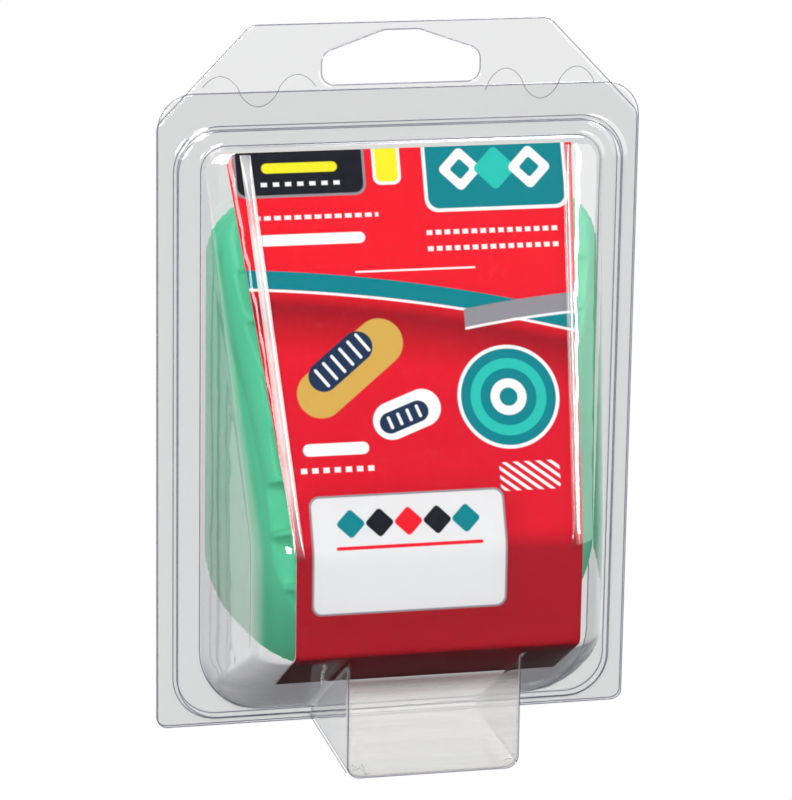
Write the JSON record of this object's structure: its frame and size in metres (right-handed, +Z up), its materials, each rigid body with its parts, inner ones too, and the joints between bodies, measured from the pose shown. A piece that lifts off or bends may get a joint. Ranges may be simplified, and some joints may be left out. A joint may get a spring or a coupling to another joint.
{
  "type": "pair of heel cups in a clear hinged clamshell pack with a card",
  "caption": "Nested green rubber heel cups with waffle soles, in a clear wedge-shaped clamshell pack with a folded printed card, a standing foot and a hang tab.",
  "frame": {"origin": "on the surface that the pack stands on, in the middle of its width and depth", "axes": "+Z up towards the hang tab, -Y towards the front where the bubble and the card face, +X to the right of someone facing the front"},
  "size_m": [0.097, 0.038, 0.1426],
  "materials": {
    "green_rubber": "satin moulded rubber",
    "printed_card": "coated printed card",
    "clear_plastic": "clear thermoformed sheet"
  },
  "bodies": {
    "pack": {"front_shell": "clear_plastic", "card": "printed_card", "heel_cup_outer": "green_rubber", "heel_cup_inner": "green_rubber"},
    "lid": {"rear_shell": "clear_plastic"}
  },
  "joints": [
    {"name": "lid_hinge", "type": "hinge", "parent": "pack", "child": "lid", "pos_m": [0, 0.01833, 0], "axis": [-1, 0, 0], "range_deg": [0, 180]}
  ]
}
